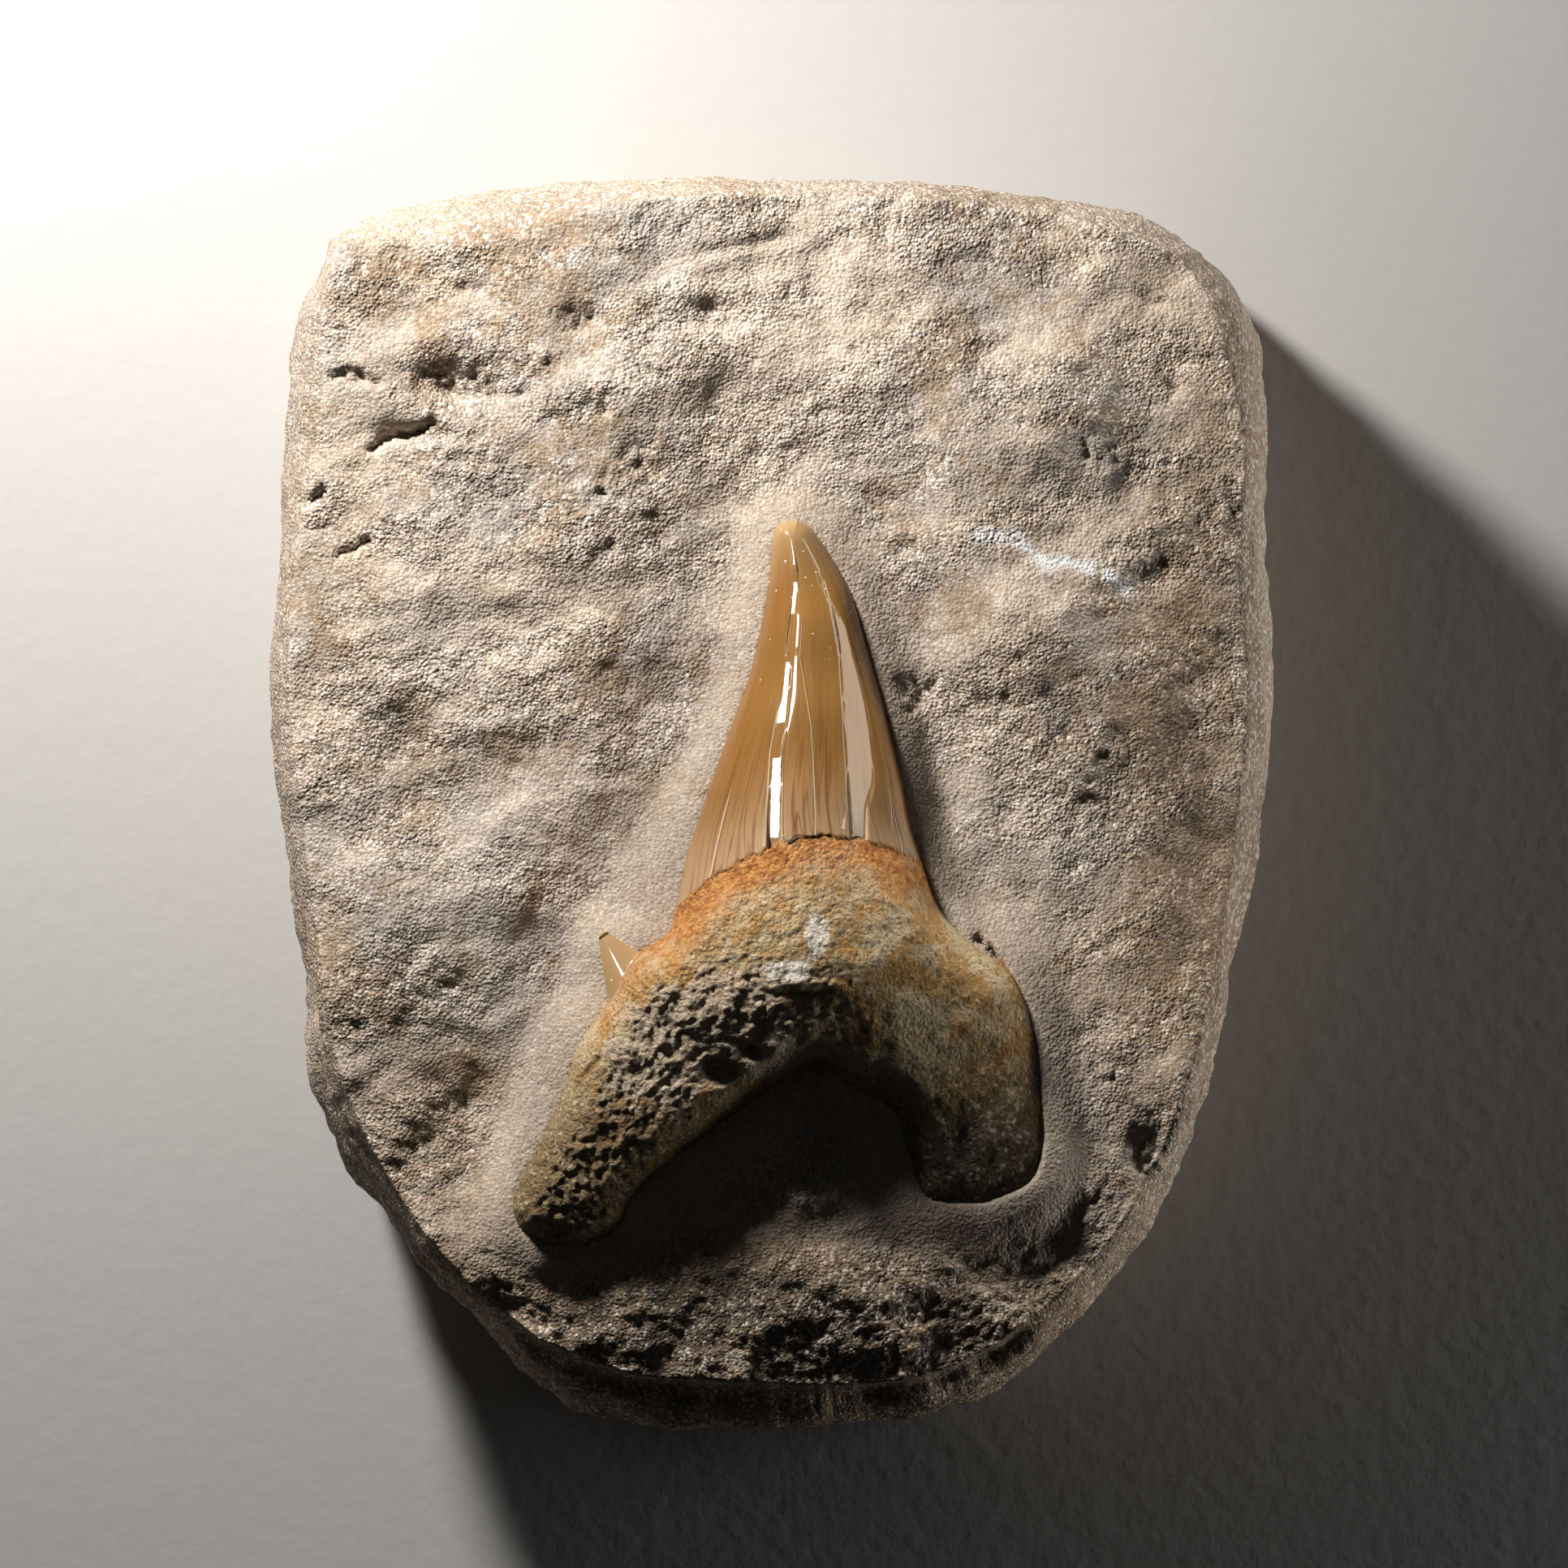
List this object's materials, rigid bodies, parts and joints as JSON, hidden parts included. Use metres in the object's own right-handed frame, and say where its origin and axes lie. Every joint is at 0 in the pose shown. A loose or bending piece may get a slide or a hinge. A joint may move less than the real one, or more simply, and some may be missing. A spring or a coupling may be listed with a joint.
{
  "type": "fossil shark tooth in rock matrix",
  "caption": "Fossil mackerel-shark tooth with a polished crown, rough lobed root and small side cusplet, lying partly freed on the face of a flat-backed block of sandy rock.",
  "frame": {"origin": "on the flat back, under the middle of the block", "axes": "+Z out of the face that shows the tooth, +Y along the crown to its tip, +X to the right of someone looking down at the face"},
  "size_m": [0.0874, 0.1095, 0.041],
  "materials": {
    "sandy_rock": "rough, granular, cream to grey-brown sandy limestone",
    "fossil_tooth": "polished honey-brown enamel over a rough, porous, ochre and olive root"
  },
  "bodies": {
    "root": {"matrix_block": "sandy_rock", "shark_tooth": "fossil_tooth"}
  },
  "joints": []
}
